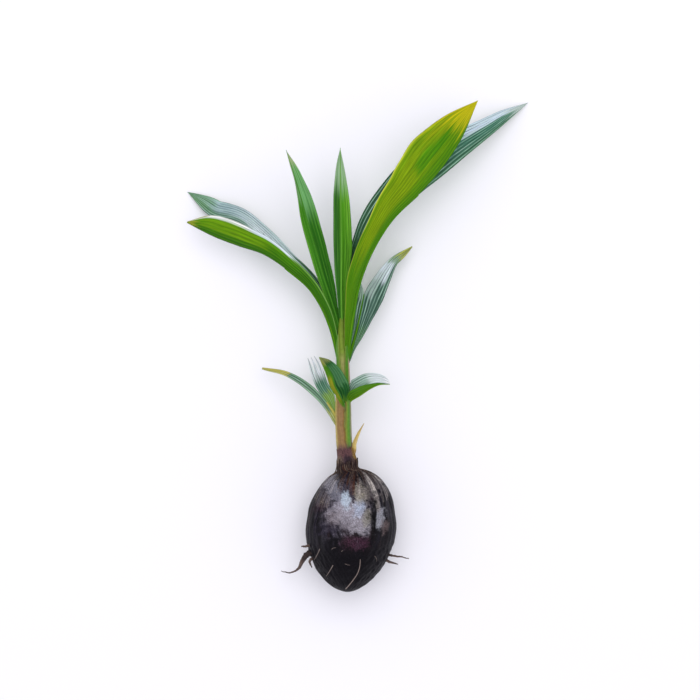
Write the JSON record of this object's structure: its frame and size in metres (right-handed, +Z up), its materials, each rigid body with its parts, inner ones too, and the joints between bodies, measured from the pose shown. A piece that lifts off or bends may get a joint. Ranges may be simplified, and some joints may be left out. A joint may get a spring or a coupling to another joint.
{
  "type": "sprouted coconut",
  "caption": "Coconut palm seedling lying bare-rooted on its side: a dark husked nut with fine roots, a short sheathed stem, and folded, cleft green leaves that fan out.",
  "frame": {"origin": "under the middle of the part's box, on the surface that the plant lies on", "axes": "+Y along the shoot from the nut to the leaf tips, +Z up from the surface, +X to the right as seen from above with the shoot pointing away"},
  "size_m": [0.572, 0.811, 0.141],
  "materials": {
    "husk": "wet, glossy fibrous husk",
    "stem": "satin rolled leaf sheaths",
    "collar_sheath": "matte fibrous sheath",
    "scale_leaf": "dry papery scale",
    "leaf_left": "waxy ribbed leaf, matte underneath",
    "leaf_right": "waxy ribbed leaf, matte underneath",
    "spear_left": "waxy ribbed leaf, matte underneath",
    "spear_centre": "waxy ribbed leaf, matte underneath",
    "leaf_small_right": "waxy ribbed leaf, matte underneath",
    "leaf_low_left": "waxy ribbed leaf, matte underneath",
    "leaf_low_front": "waxy ribbed leaf, matte underneath",
    "leaf_low_right": "waxy ribbed leaf, matte underneath",
    "root_left": "matte root skin",
    "root_left_fork": "matte root skin",
    "root_left_stub": "matte root skin",
    "root_right": "matte root skin",
    "root_right_stub": "matte root skin"
  },
  "bodies": {
    "root": {"husk": "husk", "stem": "stem", "collar_sheath": "collar_sheath", "scale_leaf": "scale_leaf", "leaf_left": "leaf_left", "leaf_right": "leaf_right", "spear_left": "spear_left", "spear_centre": "spear_centre", "leaf_small_right": "leaf_small_right", "leaf_low_left": "leaf_low_left", "leaf_low_front": "leaf_low_front", "leaf_low_right": "leaf_low_right", "root_left": "root_left", "root_left_fork": "root_left_fork", "root_left_stub": "root_left_stub", "root_right": "root_right", "root_right_stub": "root_right_stub"}
  },
  "joints": []
}
